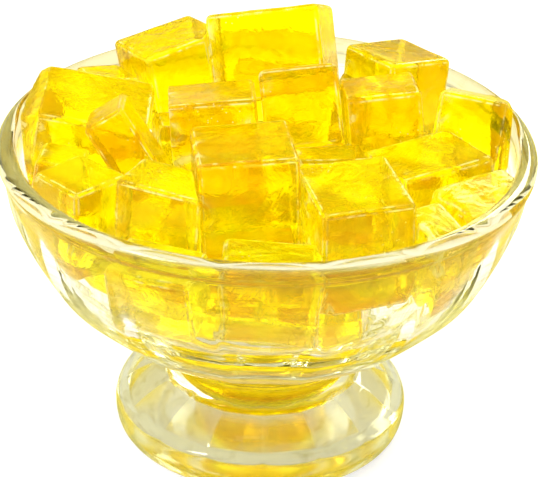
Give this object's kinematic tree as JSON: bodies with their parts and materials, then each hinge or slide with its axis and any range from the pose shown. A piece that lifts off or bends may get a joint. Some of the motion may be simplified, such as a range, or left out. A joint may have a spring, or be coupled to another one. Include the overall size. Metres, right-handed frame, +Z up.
{
  "type": "footed glass dessert bowl of jelly cubes",
  "caption": "Footed pressed-glass dessert bowl heaped with clear yellow jelly cut in cubes; stands on its round foot and serves as a filled dessert.",
  "frame": {"origin": "middle of the foot's underside, on the plane that the standing ring rests on", "axes": "+Z up along the bowl's turning axis; -Y is the side the bowl is seen from, with the lower cubes; +X is to the right seen from that side"},
  "size_m": [0.1248, 0.1248, 0.097],
  "materials": {
    "glass": "clear, pressed, faintly panelled and glossy",
    "jelly": "wet, glossy and see-through bright yellow"
  },
  "bodies": {
    "root": {"bowl": "glass", "jelly_stem": "jelly", "jelly_front_middle": "jelly", "jelly_front_right": "jelly", "jelly_crown": "jelly", "jelly_back_left": "jelly", "jelly_left_high": "jelly", "jelly_left_tilted": "jelly", "jelly_centre_left": "jelly", "jelly_centre_tilted": "jelly", "jelly_back_right": "jelly", "jelly_right_rim": "jelly", "jelly_right_high": "jelly", "jelly_front_left": "jelly", "jelly_left_corner": "jelly", "jelly_centre_right": "jelly", "jelly_centre_low": "jelly", "jelly_right_low": "jelly", "jelly_right_wedge": "jelly", "jelly_glass_middle": "jelly", "jelly_glass_left": "jelly", "jelly_left_edge": "jelly", "jelly_back_low": "jelly", "jelly_core_middle": "jelly", "jelly_core_back": "jelly", "jelly_core_back_left": "jelly", "jelly_core_back_right": "jelly", "jelly_core_left": "jelly", "jelly_core_right": "jelly", "jelly_well_front_left": "jelly", "jelly_well_front_right": "jelly", "jelly_well_back_left": "jelly", "jelly_well_back_right": "jelly", "jelly_back_middle": "jelly", "jelly_left_back": "jelly"}
  },
  "joints": []
}
